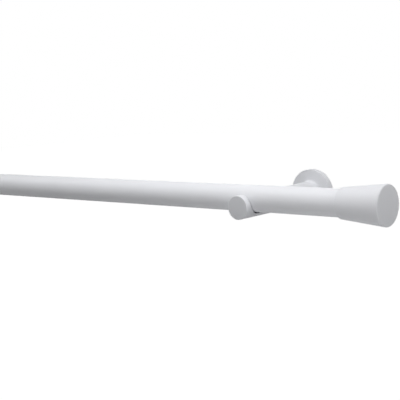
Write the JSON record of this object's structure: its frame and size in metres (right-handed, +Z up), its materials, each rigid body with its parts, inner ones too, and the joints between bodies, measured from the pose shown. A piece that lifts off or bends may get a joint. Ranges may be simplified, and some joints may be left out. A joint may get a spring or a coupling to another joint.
{
  "type": "curtain rod",
  "caption": "Straight round curtain rod with flared cone finials, held off the wall by cast brackets whose round arms carry it in a saddle; curtains hang from rings that slide on it.",
  "frame": {"origin": "on the wall plane, midway between the two brackets, at the height of their arms; centre of the pattern of wall screws", "axes": "+X along the rod, +Y into the wall, +Z up; the front faces -Y"},
  "size_m": [1.071, 0.0984, 0.0384],
  "materials": {
    "tube_lacquer": "white lacquer, satin, on drawn steel tube",
    "casting_lacquer": "white lacquer, satin, on a smooth metal casting",
    "plug_nylon": "natural moulded nylon",
    "plate_zinc": "bright zinc plate on pressed steel",
    "screw_steel": "dark hardened steel"
  },
  "bodies": {
    "rail": {"rod_tube": "tube_lacquer", "left_bracket": "casting_lacquer", "right_bracket": "casting_lacquer", "wall_plates": "plate_zinc", "rosette_screws": "screw_steel", "rod_screws": "screw_steel"},
    "left_end": {"left_finial": "casting_lacquer", "left_finial_plug": "plug_nylon"},
    "right_end": {"right_finial": "casting_lacquer", "right_finial_plug": "plug_nylon"}
  },
  "joints": [
    {"name": "left_finial_pull", "type": "slide", "parent": "rail", "child": "left_end", "axis": [-1, 0, 0], "range_m": [0, 0.02]},
    {"name": "right_finial_pull", "type": "slide", "parent": "rail", "child": "right_end", "axis": [1, 0, 0], "range_m": [0, 0.02]}
  ]
}
